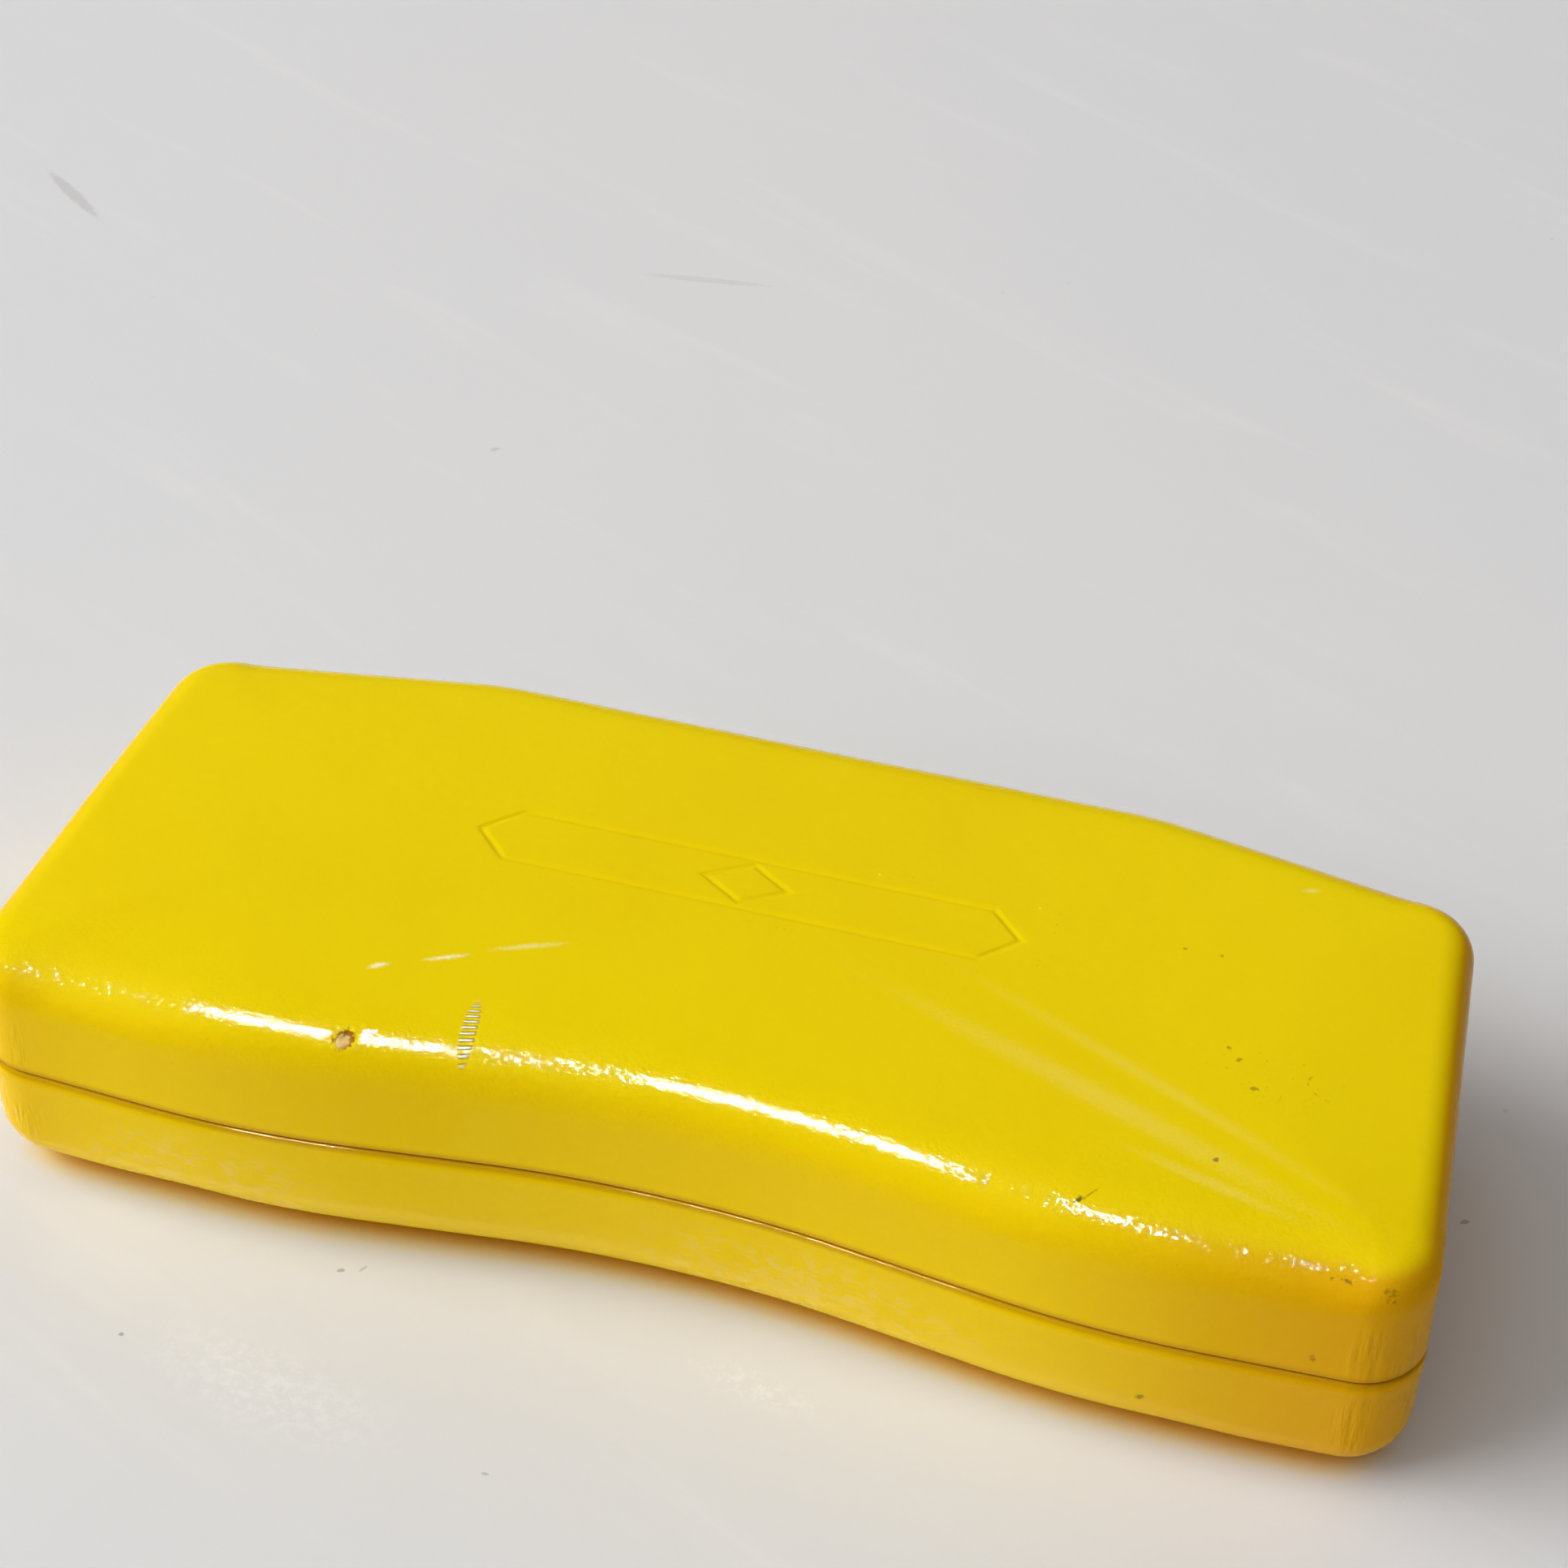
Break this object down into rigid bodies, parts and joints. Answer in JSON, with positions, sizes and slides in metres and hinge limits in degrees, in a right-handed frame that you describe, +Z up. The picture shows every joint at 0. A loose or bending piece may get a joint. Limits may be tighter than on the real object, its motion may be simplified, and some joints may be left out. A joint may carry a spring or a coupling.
{
  "type": "eyeglasses case",
  "caption": "Hard clamshell eyeglasses case in glossy skin with a waisted front edge, rounded corners, a flocked inside and a sprung hinge along the straight back.",
  "frame": {"origin": "on the plane that the case stands on, under the middle of the closed case", "axes": "+X along the case, -Y towards the edge that opens, +Y towards the hinges, +Z up"},
  "size_m": [0.1708, 0.0734, 0.0357],
  "materials": {
    "skin": "high-gloss coated leatherette, bright yellow, finely rippled, with creases and small scuffs",
    "skin_strip": "glossy coated leatherette strip with pressed edges",
    "pressed_steel": "thin cold-rolled sheet, dull zinc plated",
    "foam": "closed-cell foam sheet",
    "flocking": "short flocked pile on a formed plastic tray, charcoal",
    "hinge_steel": "nickel-plated pressed steel with rolling marks",
    "rivet_steel": "plain steel, set with a press",
    "pin_steel": "drawn wire, ends headed over",
    "spring_wire": "hard-drawn spring wire, lightly oiled"
  },
  "bodies": {
    "base": {"base_skin": "skin", "base_shell": "pressed_steel", "base_foam": "foam", "base_liner": "flocking", "base_hinge_leaf_left": "hinge_steel", "base_hinge_rivets_left": "rivet_steel", "hinge_pin_left": "pin_steel", "hinge_spring_left": "spring_wire", "base_hinge_leaf_right": "hinge_steel", "base_hinge_rivets_right": "rivet_steel", "hinge_pin_right": "pin_steel", "hinge_spring_right": "spring_wire", "hinge_strip": "skin_strip"},
    "lid": {"lid_skin": "skin", "lid_shell": "pressed_steel", "lid_foam": "foam", "lid_liner": "flocking", "lid_hinge_leaf_left": "hinge_steel", "lid_hinge_rivets_left": "rivet_steel", "lid_hinge_leaf_right": "hinge_steel", "lid_hinge_rivets_right": "rivet_steel"}
  },
  "joints": [
    {"name": "lid_hinge", "type": "hinge", "parent": "base", "child": "lid", "pos_m": [0, 0.0336, 0.0184], "axis": [-1, 0, 0], "range_deg": [0, 100], "stiffness_Nm_per_rad": 0.03, "springref_deg": -51.57, "deforming": ["hinge_strip", "hinge_spring_left", "hinge_spring_right"]}
  ]
}
